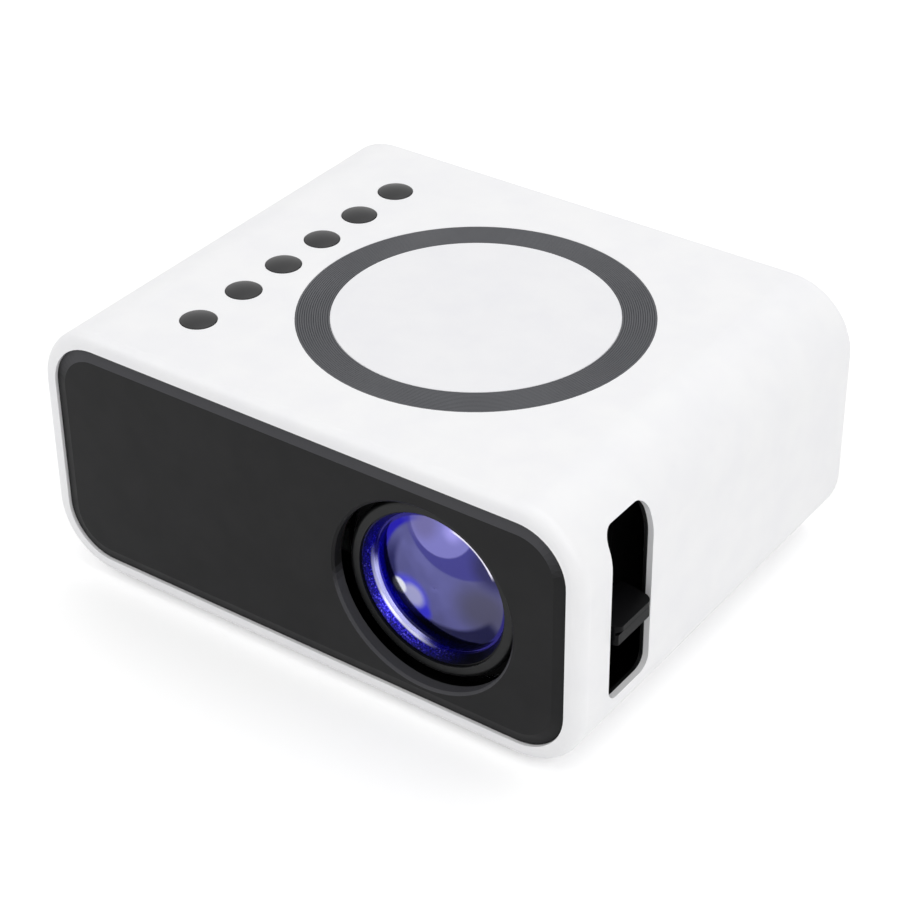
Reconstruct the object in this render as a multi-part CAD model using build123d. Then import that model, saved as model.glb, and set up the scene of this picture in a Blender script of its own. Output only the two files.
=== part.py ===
from build123d import *
import math
import os

# Compact LED projector.  Millimetres.  Origin under the middle of the object, on the
# surface that it stands on.  +X is right seen from the front, the lens looks along -Y, +Z is up.

# Casing
body_w = 128.0
body_d = 99.5
body_h = 57.0
foot_out = 1.4          # how far the feet hold the casing off the table
wall = 2.0
corner_top = 14.5
corner_bottom = 13.9
front_round = 2.4
back_round = 0.6
rim = 3.6               # white rim round the front and back panels
panel_corner = 10.5
panel_gap = 0.1
front_panel_t = 2.6
rear_panel_t = 2.2
ledge_t = 1.6           # ledge that each panel seats on
ledge_w = 1.8
ear_r = 3.6             # screw ears in the ledge corners
ear_inset = 6.0         # ear centre, in from the panel's edge
bevel_w = 2.5
bevel_d = 0.65

# Top trim and buttons
ring_x = 6.6
disc_r = 28.65
ring_band = 6.75       # width of the grooved ring round the disc
ring_r = disc_r + ring_band
inlay_t = 1.2
inlay_gap = 0.08
groove_count = 14
groove_w = 0.2
groove_d = 0.15
button_x = -36.7
button_back_y = 32.05
button_pitch = 12.7
button_first_gap = 13.9
button_count = 6
button_r = 3.65
button_gap = 0.15
button_dome = 0.75
button_travel = 0.5
button_flange_r = 4.8
button_flange_t = 1.0
button_play = 0.15      # under the top wall, above the flange

# Key board and its switches
key_board_drop = 8.0    # top wall's inner face down to the board
key_board_t = 1.2
key_board_w = 13.0
key_board_end = 3.4     # board past each post
key_post_r = 2.6
key_post_past = 8.2     # post centre past the end buttons
switch_w = 6.0
switch_h = 3.5
plunger_r = 1.3
plunger_gap = 0.05
plunger_out = 1.5
plunger_in = 0.3
stem_r = 1.7

# Lens and focus drive
lens_x = 28.7
lens_drop = 1.0         # lens axis below the casing's middle
lens_up = body_h / 2 - lens_drop
focus_room = 1.38       # focus ring to the casing's floor
holder_wall = 2.0
ring_wall = 3.0
run_gap = 0.06          # radial running clearance of barrel and ring
barrel_r = lens_up - wall - focus_room - ring_wall - holder_wall - 2 * run_gap
hole_gap = 1.3          # lens hole round the barrel
lens_hole_r = barrel_r + hole_gap
hole_chamfer = 0.5
barrel_back_off = 3.3   # barrel's front face behind the casing's front
barrel_len = 24.4
barrel_wall = 2.2
barrel_round = 1.0
barrel_lip = 2.0
bezel_mouth_r = barrel_r - 2.4
glass_r = barrel_r - 3.8        # clear opening of the front glass
glass_back_off = 3.0    # front glass edge behind the barrel's front face
lens_edge_t = 2.4
front_bulge = 1.9
lip_t = 1.5
holder_ahead = 2.4      # holder tube ahead of the focus ring
holder_plate_t = 2.0
ring_side_gap = 0.15
shoulder_t = 2.0
clip_t = 1.1
clip_depth = 0.6
clip_out = 1.6
clip_gap_angle = 40.0
pin_count = 3
pin_r = 1.2
pin_gap = 0.15
pin_first_angle = 60.0
focus_lead = 24.0       # barrel travel for one whole turn of the ring
focus_down = 18.0       # lever travel each way, in degrees
focus_up = 27.0
slot_past = 6.0         # cam slot past the pin at each limit, in degrees

# Focus lever and its slot in the right wall
slot_front = 9.75       # slot's front edge behind the casing's front
slot_len = 13.85
slot_below = 14.9       # slot's lower edge below the lens axis
slot_low = lens_up - slot_below
slot_top_in = 6.3       # slot's upper edge below the casing's top
slot_high = body_h - slot_top_in
slot_corner = 3.0
lever_side_gap = 0.75   # lever's front edge behind the slot's front edge
lever_w = 11.6
lever_tip = 1.4         # lever past the casing's side
lever_t = 5.0
lever_arm_t = 3.2
lever_rest = 1.5        # angle above level, in degrees
lever_head = 7.0        # length of the thick end
lever_groove_w = 0.7
lever_groove_d = 1.3
lever_lip_t = 1.1
lever_lip_past = 0.45   # lip past the block under it
lever_slope = 11.0

# Light engine
light_y = 9.0           # light axis, along X, from the lamp to the mirror
duct_w = 38.0
case_wall = 1.5
duct_room = 0.8         # light engine above the tripod insert
case_left = -26.0
case_right = 51.0
case_front = -19.0
case_step_x = 8.0
lid_t = 1.5
mirror_t = 2.2
plate_gap = 0.1
rib_t = 1.0
rib_out = 1.6
leg_r = 3.2
engine_screw_x = 17.5
led_board_t = 1.6
led_w = 13.0
led_t = 1.2
sink_base_t = 4.0
sink_left = -54.0
sink_gap = 1.8          # fins below the key board
sink_w = 36.0
fin_count = 9
fin_t = 1.3
condenser_bulge = 5.4

# Bottom cover
cover_w = 78.0
cover_d = 56.0
cover_y = 7.5           # middle of the cover, behind the casing's middle
cover_corner = 6.0
cover_skin = 1.2
cover_ledge = 2.2
cover_gap = 0.15
cover_screw_in = 4.6
boss_r = 4.2
boss_h = 5.0
tripod_r = 2.6          # 1/4-inch 20-turn thread, minor radius
tripod_insert_r = 4.0
tripod_flange_r = 6.5
tripod_flange_t = 1.6
tripod_len = 7.2
duct_h = 2 * (lens_up - tripod_len - duct_room - case_wall)
mirror_h = duct_h - 2.0
engine_screw_z = duct_h / 2 - 2.8
condenser_r = duct_h / 2 - 2.5
sink_h = 2 * (body_h - wall - key_board_drop - key_board_t - sink_gap - lens_up)
vent_w = 2.0
vent_len = 14.0
vent_pitch = 4.0
vent_count = 8
vent_x = -31.0
vent_mid_y = 9.0

# Feet
foot_r = 4.6
foot_x = 45.0
foot_y = 40.0
foot_seat = 0.8

# Fan and speaker
fan_size = 30.0
fan_t = 10.0
fan_in = 30.0           # fan axis, in from the casing's left side
fan_x = fan_in - body_w / 2
fan_up = 24.6
fan_hole_pitch = 24.0
fan_bore_r = 14.0
fan_hub_r = 6.5
fan_tip_gap = 0.5
fan_blades = 7
fan_base_t = 2.0
fan_shaft_r = 1.0
fan_spacer = 1.8
speaker_x = -22.0
speaker_y = -33.2
speaker_r = 12.0
speaker_h = 9.0
speaker_rim_w = 2.0
speaker_neck_r = 6.0
speaker_slots = 5
speaker_slot_w = 1.6
speaker_slot_pitch = 3.2

# Main board and sockets
board_fan_gap = 5.0
board_left = fan_x + fan_size / 2 + board_fan_gap
board_right = body_w / 2 - 15.0
board_low = 8.0         # board's lower edge above the table
board_high = body_h - 7.0
board_t = 1.6
board_back_off = 11.0   # rear panel's inner face to the board
socket_short = 0.4      # sockets end this much inside the back panel's face
socket_gap = 0.25
port_up = 20.0          # row of sockets above the casing's underside
dc_x = board_right - 6.0
av_x = board_right - 18.5
usb_x = board_right - 31.5
hdmi_size = (15.0, 5.6)
usb_size = (13.1, 5.8)
hdmi_x = (fan_x + fan_size / 2 + usb_x - usb_size[0] / 2) / 2
card_up = 33.0
av_bore_r = 1.8
av_depth = 11.0
grille_ring = 3

# Planes and lines that follow from the sizes above
bottom = foot_out
top = bottom + body_h
front = -body_d / 2
back = body_d / 2
side = body_w / 2
floor_in = bottom + wall
roof_in = top - wall
middle_z = (bottom + top) / 2
lens_z = bottom + lens_up
front_seat = front + front_panel_t
rear_seat = back - rear_panel_t
button_ys = [button_back_y - button_pitch * n for n in range(button_count - 1)]
button_ys.append(button_ys[-1] - button_first_gap)
button_ys.reverse()
focus_k = focus_lead / (2 * math.pi)
trim = 0.01             # overlap of a cutting tool past the face that it opens


def block(x, y, z):
    size = [high - low for low, high in (x, y, z)]
    middle = [(low + high) / 2 for low, high in (x, y, z)]
    return Pos(*middle) * Box(*size)


def facing(y):
    return Plane(origin=(0, y, 0), x_dir=(1, 0, 0), z_dir=(0, -1, 0))


def along_x(sketch, x0, x1):
    return extrude(Plane.YZ.offset(x0) * sketch, x1 - x0)


def along_y(sketch, y0, y1):
    return extrude(facing(y1) * sketch, y1 - y0)


def along_z(sketch, z0, z1):
    return extrude(Plane.XY.offset(z0) * sketch, z1 - z0)


def rod_x(y, z, radius, x0, x1):
    return along_x(Pos(y, z) * Circle(radius), x0, x1)


def rod_y(x, z, radius, y0, y1):
    return along_y(Pos(x, z) * Circle(radius), y0, y1)


def rod_z(x, y, radius, z0, z1):
    return along_z(Pos(x, y) * Circle(radius), z0, z1)


def both(value):
    return (-value, value)


def both_at(middle, half):
    return (middle - half, middle + half)


def group(solids):
    return Compound(children=list(solids))


def screw(head_r, head_h, shank_r, length):
    # Pan head on +Z, shank on -Z, cross recess in the head
    head = rod_z(0, 0, head_r, 0, head_h)
    head = fillet(head.edges().sort_by(Axis.Z)[-1], head_h * 0.4)
    arm = block(both(head_r * 0.62), both(head_r * 0.13), (head_h * 0.5, head_h + 1))
    shank = rod_z(0, 0, shank_r, -length, 0)
    return head + shank - arm - Rot(0, 0, 90) * arm


def aim(point, direction):
    return Plane(origin=point, z_dir=direction).location


def casing_outline(inset):
    # Front view of the casing, drawn about the lens side's middle height
    face = Rectangle(body_w - 2 * inset, body_h - 2 * inset)
    face = fillet(face.vertices().group_by(Axis.Y)[-1], corner_top - inset)
    face = fillet(face.vertices().group_by(Axis.Y)[0], corner_bottom - inset)
    return Pos(0, middle_z) * face


def panel_outline(inset):
    # Front view of a panel opening, inset from the panel's own edge
    width = body_w - 2 * (rim + inset)
    height = body_h - 2 * (rim + inset)
    return Pos(0, middle_z) * RectangleRounded(width, height, panel_corner - inset)


def panel_ears():
    # Screw points in the four corners of a panel
    reach = rim + ear_inset
    return [(sx * (side - reach), middle_z + sz * (body_h / 2 - reach))
            for sx in (-1, 1) for sz in (-1, 1)]


def turned(points):
    # Corners are (radius, y); turned about the lens axis
    face = make_face(Polyline(*points, close=True))
    return Pos(lens_x, 0, lens_z) * revolve(face, Axis.Y)


def dome(radius, edge, bulge):
    # Arc from the axis to the rim of a spherical face
    ball = (radius ** 2 + bulge ** 2) / (2 * abs(bulge))
    sign = math.copysign(1, bulge)
    heart = edge + bulge - sign * ball
    half = heart + sign * math.sqrt(ball ** 2 - radius ** 2 / 4)
    return ThreePointArc((0, edge + bulge), (radius / 2, half), (radius, edge))


def round_lens(radius, clear, edge_front, edge_back, bulge_front, bulge_back):
    # Spherical faces inside a flat rim, turned about the Y axis; bulges are signed along +Y
    lower = dome(clear, edge_front, bulge_front)
    upper = dome(clear, edge_back, bulge_back)
    rim_line = Polyline((clear, edge_front), (radius, edge_front), (radius, edge_back), (clear, edge_back))
    axis_line = Line((0, edge_back + bulge_back), (0, edge_front + bulge_front))
    return revolve(make_face([lower, rim_line, upper, axis_line]), Axis.Y)


# Casing ------------------------------------------------------------------

cover_points = [(sx * (cover_w / 2 - cover_screw_in), cover_y + sy * (cover_d / 2 - cover_screw_in))
                for sx in (-1, 1) for sy in (-1, 1)]
foot_points = [(sx * foot_x, sy * foot_y) for sx in (-1, 1) for sy in (-1, 1)]
slot_y = (front + slot_front, front + slot_front + slot_len)
slot_z = (bottom + slot_low, bottom + slot_high)
panel_screw_r = 0.95
panel_head_r = 1.9
panel_head_h = 1.1
panel_bite = 2.0        # thread depth in the front panel
rear_boss_len = 6.0
screw_gap = 0.05
key_post_ys = (button_ys[0] - key_post_past, button_ys[-1] + key_post_past)
key_board_top = roof_in - key_board_drop
key_bite = 5.0
cover_sink = 0.7        # cover screw heads sit this deep in the skin
leg_points = [(case_left + 6, light_y - 15), (case_left + 6, light_y + 15),
              (case_step_x + 12, case_front + 5), (case_step_x - 2, light_y + 15)]
leg_bite = 8.0


def make_housing():
    shell = along_y(casing_outline(0), front, back)
    shell = fillet(shell.faces().sort_by(Axis.Y)[0].edges(), front_round)
    shell = fillet(shell.faces().sort_by(Axis.Y)[-1].edges(), back_round)
    shell -= along_y(casing_outline(wall), front_seat + ledge_t, rear_seat - ledge_t)
    shell -= along_y(panel_outline(ledge_w), front - 1, back + 1)
    shell -= along_y(panel_outline(-panel_gap), front - 1, front_seat)
    shell -= along_y(panel_outline(-panel_gap), rear_seat, back + 1)
    for x, z in panel_ears():
        shell += rod_y(x, z, ear_r, front_seat, front_seat + ledge_t)
        shell += rod_y(x, z, ear_r, rear_seat - rear_boss_len, rear_seat)
        shell -= rod_y(x, z, panel_screw_r + screw_gap, front_seat - 1, front_seat + ledge_t + 1)
        shell -= rod_y(x, z, panel_screw_r + screw_gap, rear_seat - rear_boss_len + 1, rear_seat + 1)
    shell -= rod_z(ring_x, 0, ring_r + inlay_gap, top - inlay_t, top + 1)
    for y in button_ys:
        shell -= rod_z(button_x, y, button_r + button_gap, roof_in - 1, top + 1)
    for y in key_post_ys:
        shell += rod_z(button_x, y, key_post_r, key_board_top, roof_in + trim)
        shell -= rod_z(button_x, y, panel_screw_r + screw_gap, key_board_top - 1, key_board_top + key_bite)
    shell -= lever_slot(0, side - corner_top)
    shell = shell + cover_bosses() - cover_opening()
    for x, y in foot_points:
        shell -= rod_z(x, y, foot_r, bottom - 1, bottom + foot_seat)
    return shell - speaker_grille()


def speaker_grille():
    slits = []
    for n in range(speaker_slots):
        off = (n - (speaker_slots - 1) / 2) * speaker_slot_pitch
        reach = math.sqrt((speaker_r - speaker_rim_w - 1) ** 2 - off ** 2)
        slit = Pos(speaker_x, speaker_y + off) * SlotOverall(2 * reach, speaker_slot_w)
        slits.append(along_z(slit, bottom - 1, floor_in + 1))
    return Part() + slits


def lever_slot(grow, inner):
    width = slot_len + 2 * grow
    height = slot_high - slot_low + 2 * grow
    face = Pos(sum(slot_y) / 2, sum(slot_z) / 2) * RectangleRounded(width, height, slot_corner + grow)
    return along_x(face, inner, side + 1)


def cover_bosses():
    bosses = [rod_z(x, y, boss_r, bottom + cover_skin, floor_in + boss_h) for x, y in cover_points]
    return Part() + bosses


def cover_opening():
    # Recess for the cover's skin, the hole inside its ledge and the screw holes
    skin = Pos(0, cover_y) * RectangleRounded(cover_w, cover_d, cover_corner)
    hole = Pos(0, cover_y) * RectangleRounded(cover_w - 2 * cover_ledge, cover_d - 2 * cover_ledge,
                                              cover_corner - cover_ledge)
    for x, y in cover_points:
        hole -= Pos(x, y) * Circle(boss_r)
    cut = along_z(skin, bottom - 1, bottom + cover_skin)
    cut += along_z(hole, bottom, floor_in + trim)
    for x, y in cover_points:
        cut += rod_z(x, y, panel_screw_r + screw_gap, bottom, floor_in + boss_h - 1)
    return cut


def make_front_panel():
    panel = along_y(panel_outline(0), front, front_seat)
    edge = panel.faces().sort_by(Axis.Y)[0]
    panel = chamfer(edge.edges(), bevel_w, bevel_d, reference=edge)
    panel -= rod_y(lens_x, lens_z, lens_hole_r, front - 1, front_seat + 1)
    mouth = [e for e in panel.edges().filter_by(GeomType.CIRCLE)
             if abs(e.radius - lens_hole_r) < trim and abs(e.center().Y - front) < trim]
    panel = chamfer(mouth, hole_chamfer)
    for x, z in panel_ears():
        panel -= rod_y(x, z, panel_screw_r + screw_gap, front_seat - panel_bite, front_seat + 1)
    return panel


def make_front_screws():
    length = ledge_t + panel_bite - 0.1
    piece = screw(panel_head_r, panel_head_h, panel_screw_r, length)
    return group(aim((x, front_seat + ledge_t, z), (0, 1, 0)) * piece for x, z in panel_ears())


def make_rear_screws():
    sunk = back - panel_head_h - 0.1
    length = sunk - rear_seat + rear_boss_len - 1.5
    piece = screw(panel_head_r, panel_head_h, panel_screw_r, length)
    return group(aim((x, sunk, z), (0, 1, 0)) * piece for x, z in panel_ears())


def make_bottom_cover():
    middle = Pos(0, cover_y)
    skin = middle * RectangleRounded(cover_w - 2 * cover_gap, cover_d - 2 * cover_gap, cover_corner - cover_gap)
    inset = cover_ledge + cover_gap
    raised = middle * RectangleRounded(cover_w - 2 * inset, cover_d - 2 * inset, cover_corner - inset)
    for x, y in cover_points:
        raised -= Pos(x, y) * Circle(boss_r + cover_gap)
    plate = along_z(skin, bottom, bottom + cover_skin)
    plate += along_z(raised, bottom + cover_skin, floor_in)
    plate -= rod_z(0, 0, tripod_insert_r, bottom - 1, bottom + tripod_len + 1)
    for x, y in cover_points:
        plate -= rod_z(x, y, panel_screw_r + screw_gap, bottom - 1, floor_in)
        plate -= rod_z(x, y, panel_head_r + 0.15, bottom - 1, bottom + cover_sink)
    for x, y in leg_points:
        plate -= rod_z(x, y, panel_screw_r + screw_gap, bottom - 1, floor_in + 1)
        plate -= rod_z(x, y, panel_head_r + 0.15, bottom - 1, bottom + panel_head_h)
    for n in range(vent_count):
        y = vent_mid_y + (n - (vent_count - 1) / 2) * vent_pitch
        plate -= along_z(Pos(vent_x, y) * SlotOverall(vent_len, vent_w), bottom - 1, floor_in + 1)
    return plate


def make_cover_screws():
    piece = screw(panel_head_r, cover_sink, panel_screw_r, boss_h)
    return group(aim((x, y, bottom + cover_sink), (0, 0, -1)) * piece for x, y in cover_points)


def make_tripod_insert():
    # Threaded sleeve with a flange on the cover's inner face
    insert = rod_z(0, 0, tripod_insert_r, bottom, bottom + tripod_len)
    insert += rod_z(0, 0, tripod_flange_r, floor_in, floor_in + tripod_flange_t)
    insert -= rod_z(0, 0, tripod_r, bottom - 1, bottom + tripod_len + 1)
    return insert


def make_feet():
    feet = []
    for x, y in foot_points:
        foot = rod_z(x, y, foot_r, 0, bottom + foot_seat)
        feet.append(fillet(foot.edges().sort_by(Axis.Z)[0], 0.5))
    return group(feet)


# Top trim and buttons ------------------------------------------------------

def make_top_ring():
    # Concentric grooves turned in the upper face
    band = ring_r - disc_r
    pitch = band / (groove_count + 1)
    points = [(disc_r + inlay_gap, top - inlay_t), (disc_r + inlay_gap, top)]
    for n in range(1, groove_count + 1):
        middle = disc_r + n * pitch
        points.append((middle - groove_w / 2, top))
        points.append((middle, top - groove_d))
        points.append((middle + groove_w / 2, top))
    points.append((ring_r, top))
    points.append((ring_r, top - inlay_t))
    face = Plane.XZ * make_face(Polyline(*points, close=True))
    return Pos(ring_x, 0, 0) * revolve(face, Axis.Z)


def make_top_disc():
    disc = rod_z(ring_x, 0, disc_r, top - inlay_t, top)
    return chamfer(disc.edges().sort_by(Axis.Z)[-1], 0.15)


def button_cap(y):
    # Domed cap, flange under the top wall and stem down to the switch
    flange_top = roof_in - button_play
    flange_low = flange_top - button_flange_t
    stem_low = key_board_top + switch_h + plunger_out
    shoulder = top + 0.1
    rise = dome(button_r, shoulder, button_dome - 0.1)
    corners = [(button_r, shoulder), (button_r, flange_top), (button_flange_r, flange_top),
               (button_flange_r, flange_low), (stem_r, flange_low), (stem_r, stem_low),
               (0, stem_low), (0, top + button_dome)]
    face = make_face([rise, Polyline(*corners)])
    return Pos(button_x, y, 0) * revolve(Plane.XZ * face, Axis.Z)


def switch_plunger(y):
    face_z = key_board_top + switch_h
    return rod_z(button_x, y, plunger_r, face_z - plunger_in, face_z + plunger_out)


def make_button(y):
    return group([button_cap(y), switch_plunger(y)])


def make_switches():
    bodies = []
    low = key_board_top
    for y in button_ys:
        body = block((button_x - switch_w / 2, button_x + switch_w / 2),
                     (y - switch_w / 2, y + switch_w / 2), (low, low + switch_h))
        body = chamfer(body.edges().filter_by(Axis.Z), 0.5)
        hollow = plunger_in + button_travel + 0.1
        body -= rod_z(button_x, y, plunger_r + plunger_gap, low + switch_h - hollow, low + switch_h + 1)
        bodies.append(body)
    return group(bodies)


def make_key_board():
    y0 = key_post_ys[0] - key_board_end
    y1 = key_post_ys[1] + key_board_end
    plate = block((button_x - key_board_w / 2, button_x + key_board_w / 2), (y0, y1),
                  (key_board_top - key_board_t, key_board_top))
    for y in key_post_ys:
        plate -= rod_z(button_x, y, panel_screw_r + screw_gap, key_board_top - 5, key_board_top + 1)
    return plate


def key_screws():
    piece = screw(panel_head_r, panel_head_h, panel_screw_r, key_board_t + key_bite - 0.2)
    low = key_board_top - key_board_t
    return [aim((button_x, y, low), (0, 0, -1)) * piece for y in key_post_ys]


# Lens and focus drive ------------------------------------------------------

barrel_front = front + barrel_back_off
barrel_rear = barrel_front + barrel_len
barrel_in = barrel_r - barrel_wall
glass_y = barrel_front + glass_back_off
holder_in = barrel_r + run_gap
holder_out = holder_in + holder_wall
ring_in = holder_out + run_gap
ring_out = ring_in + ring_wall
lever_y = (slot_y[0] + lever_side_gap, slot_y[0] + lever_side_gap + lever_w)
ring_y = (lever_y[0] - 0.4, lever_y[1] + 0.4)
shoulder_y = (ring_y[1] + ring_side_gap, ring_y[1] + ring_side_gap + shoulder_t)
clip_y = (ring_y[0] - ring_side_gap - clip_t, ring_y[0] - ring_side_gap)
holder_front = ring_y[0] - holder_ahead
pin_y = sum(ring_y) / 2
focus_back = focus_k * math.radians(focus_down)
focus_ahead = focus_k * math.radians(focus_up)
plate_y = (case_front - holder_plate_t, case_front)
pin_angles = [pin_first_angle + 360 / pin_count * n for n in range(pin_count)]
engine_points = [(lens_x + sx * engine_screw_x, lens_z + sz * engine_screw_z)
                 for sx in (-1, 1) for sz in (-1, 1)]


def at_lens(part):
    return Pos(lens_x, 0, lens_z) * part


def turned_to(angle, part):
    # Turn a piece drawn on the +X side about the lens axis, positive from +X towards +Z
    return at_lens(Rot(0, -angle, 0) * part)


def make_lens_barrel():
    rear_r = barrel_in - barrel_lip
    points = [(bezel_mouth_r, barrel_front), (barrel_r, barrel_front), (barrel_r, barrel_rear),
              (rear_r, barrel_rear), (rear_r, barrel_rear - lip_t), (barrel_in, barrel_rear - lip_t),
              (barrel_in, glass_y), (bezel_mouth_r, glass_y)]
    barrel = turned(points)
    outer = [e for e in barrel.edges().filter_by(GeomType.CIRCLE)
             if abs(e.radius - barrel_r) < trim and abs(e.center().Y - barrel_front) < trim]
    barrel = fillet(outer, barrel_round)
    for angle in pin_angles:
        barrel -= turned_to(angle, rod_x(pin_y, 0, pin_r, barrel_in + 0.6, barrel_r + 1))
    return barrel


def make_guide_pins():
    return group(turned_to(angle, rod_x(pin_y, 0, pin_r, barrel_in + 0.6, ring_out - 0.5))
                 for angle in pin_angles)


def make_lens_bezel():
    # Cone between the barrel's mouth and the glass; its thin inner edge holds the glass
    points = [(bezel_mouth_r - 0.4, barrel_front + 0.5), (bezel_mouth_r, barrel_front + 0.5),
              (bezel_mouth_r, glass_y), (glass_r, glass_y), (glass_r, glass_y - 0.4)]
    return turned(points)


front_edge = (glass_y, glass_y + lens_edge_t)
rear_edge = (barrel_rear - lip_t - lens_edge_t, barrel_rear - lip_t)
middle_y = (front_edge[1] + rear_edge[0]) / 2
middle_edge = (middle_y - lens_edge_t / 2, middle_y + lens_edge_t / 2)
lens_fit_r = barrel_in - 0.02
clear_r = min(glass_r, barrel_in - barrel_lip) - 0.05
middle_dip = 1.6
rear_bulge = 1.4
spacer_t = 1.2


def make_front_lens():
    return at_lens(round_lens(lens_fit_r, clear_r, *front_edge, -front_bulge, rear_bulge))


def make_middle_lens():
    return at_lens(round_lens(lens_fit_r, clear_r, *middle_edge, middle_dip / 2, -middle_dip / 4))


def make_rear_lens():
    return at_lens(round_lens(lens_fit_r, clear_r, *rear_edge, -rear_bulge, rear_bulge / 2))


def make_spacer(y0, y1):
    inner = lens_fit_r - spacer_t
    return turned([(inner, y0), (lens_fit_r, y0), (lens_fit_r, y1), (inner, y1)])


def make_lens_holder():
    # Tube, shoulder behind the focus ring and square plate on the light engine
    groove_in = holder_out - clip_depth
    points = [(holder_in, holder_front), (holder_out, holder_front), (holder_out, clip_y[0]),
              (groove_in, clip_y[0]), (groove_in, clip_y[1]), (holder_out, clip_y[1]),
              (holder_out, shoulder_y[0]), (ring_out, shoulder_y[0]), (ring_out, shoulder_y[1]),
              (holder_out, shoulder_y[1]), (holder_out, plate_y[1]), (holder_in, plate_y[1])]
    holder = turned(points)
    half_x = case_right - lens_x - 0.8
    half_z = duct_h / 2 + case_wall - 0.5
    plate = RectangleRounded(2 * half_x, 2 * half_z, 3) - Circle(holder_in)
    for sx in (-1, 1):
        for sz in (-1, 1):
            plate -= Pos(sx * engine_screw_x, sz * engine_screw_z) * Circle(panel_screw_r + screw_gap)
    holder += along_y(Pos(lens_x, lens_z) * plate, *plate_y)
    half_slot = pin_r + pin_gap
    for angle in pin_angles:
        along = (pin_y - focus_ahead, pin_y + focus_back)
        slot = block((holder_in - 1, holder_out + 1), along, both(half_slot))
        for y in (pin_y - focus_ahead, pin_y + focus_back):
            slot += rod_x(y, 0, half_slot, holder_in - 1, holder_out + 1)
        holder -= turned_to(angle, slot)
    return holder


def cam_slot(angle):
    # Helical slot through the ring; the pin stands at this angle when the ring is at rest
    start = angle - focus_up - slot_past
    sweep_angle = focus_up + focus_down + 2 * slot_past
    y0 = pin_y - focus_k * math.radians(focus_up + slot_past)
    middle_r = (ring_in + ring_out) / 2
    heading = (math.cos(math.radians(start)), 0, math.sin(math.radians(start)))
    place = Plane(origin=(lens_x, y0, lens_z), x_dir=heading, z_dir=(0, 1, 0))
    path = Helix(focus_lead, focus_lead * sweep_angle / 360, middle_r, lefthand=True)
    path = place.location * path
    width = 2 * (pin_r + pin_gap)
    section = Plane(origin=path @ 0, x_dir=heading, z_dir=path % 0) * Rectangle(ring_wall + 2, width)
    return sweep(section, path=path, is_frenet=True)


def make_focus_ring():
    ring = turned([(ring_in, ring_y[0]), (ring_out, ring_y[0]), (ring_out, ring_y[1]), (ring_in, ring_y[1])])
    for angle in pin_angles:
        ring -= cam_slot(angle)
    return ring + turned_to(lever_rest, focus_lever())


def focus_lever():
    # Flat arm with a thicker end: a lip, a groove and a block, drawn level on the +X side
    tip = side + lever_tip - lens_x
    slope_len = lever_head - 2.0
    arm = block((ring_out - 0.8, tip - 1), lever_y, both(lever_arm_t / 2))
    head = block((tip - lever_head, tip), lever_y, both(lever_t / 2))
    head = fillet(head.edges().filter_by(Axis.Z).group_by(Axis.X)[-1], 1.6)
    lip_low = lever_t / 2 - slope_len * math.tan(math.radians(lever_slope)) - lever_lip_t
    across = (lever_y[0] - 1, lever_y[1] + 1)
    head -= block((tip - lever_groove_d, tip + 1), across, (lip_low - lever_groove_w, lip_low))
    head -= block((tip - lever_lip_past, tip + 1), across, (-lever_t, lip_low - lever_groove_w))
    slope = Pos(tip - slope_len, 0, lever_t / 2) * Rot(0, lever_slope, 0)
    head -= slope * block((0, lever_head + 3), across, (0, 3))
    return arm + head


def make_focus_clip():
    inner = holder_out - clip_depth
    outer = inner + clip_out
    clip = turned([(inner, clip_y[0]), (outer, clip_y[0]), (outer, clip_y[1]), (inner, clip_y[1])])
    half = (inner + clip_out + 2) * math.tan(math.radians(clip_gap_angle / 2))
    gap = make_face(Polyline((0, 0), (inner + clip_out + 2, half), (inner + clip_out + 2, -half), close=True))
    gap = along_y(gap, clip_y[0] - 1, clip_y[1] + 1)
    return clip - turned_to(90, gap)


# Light engine --------------------------------------------------------------

mirror_line = lens_x + light_y                       # x + y on the mirror's face
seat_line = mirror_line + mirror_t * math.sqrt(2)
case_line = seat_line + case_wall * math.sqrt(2)
case_back = light_y + duct_w / 2 + case_wall
case_low = lens_z - duct_h / 2 - case_wall
case_high = lens_z + duct_h / 2
lid_top = case_high + lid_t
duct_y = (light_y - duct_w / 2, light_y + duct_w / 2)
duct_z = (lens_z - duct_h / 2, lens_z + duct_h / 2)
light_exit_r = 17.0
flex_w = 9.0
flex_t = 0.3
corner_in = 3.0         # lamp screws, in from the duct's corners
lamp_points = [(light_y + sy * (duct_w / 2 - corner_in), lens_z + sz * (duct_h / 2 - corner_in))
               for sy in (-1, 1) for sz in (-1, 1)]
lamp_boss_r = 2.6
lamp_boss_len = 4.5
plate_stations = {"condenser_holder": (-20.4, 2.0), "heat_glass": (-12.5, 1.1),
                  "rear_fresnel": (-8.0, 1.6), "lcd_panel": (-3.0, 2.2), "front_fresnel": (2.5, 1.6)}


def case_outline(inset):
    step = duct_y[0] - case_wall
    line = case_line - inset * math.sqrt(2)
    right = case_right - inset
    rear = case_back - inset
    return make_face(Polyline(
        (case_left, step + inset), (case_step_x + inset, step + inset),
        (case_step_x + inset, case_front + inset), (right, case_front + inset),
        (right, line - right), (line - rear, rear), (case_left, rear), close=True))


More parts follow.
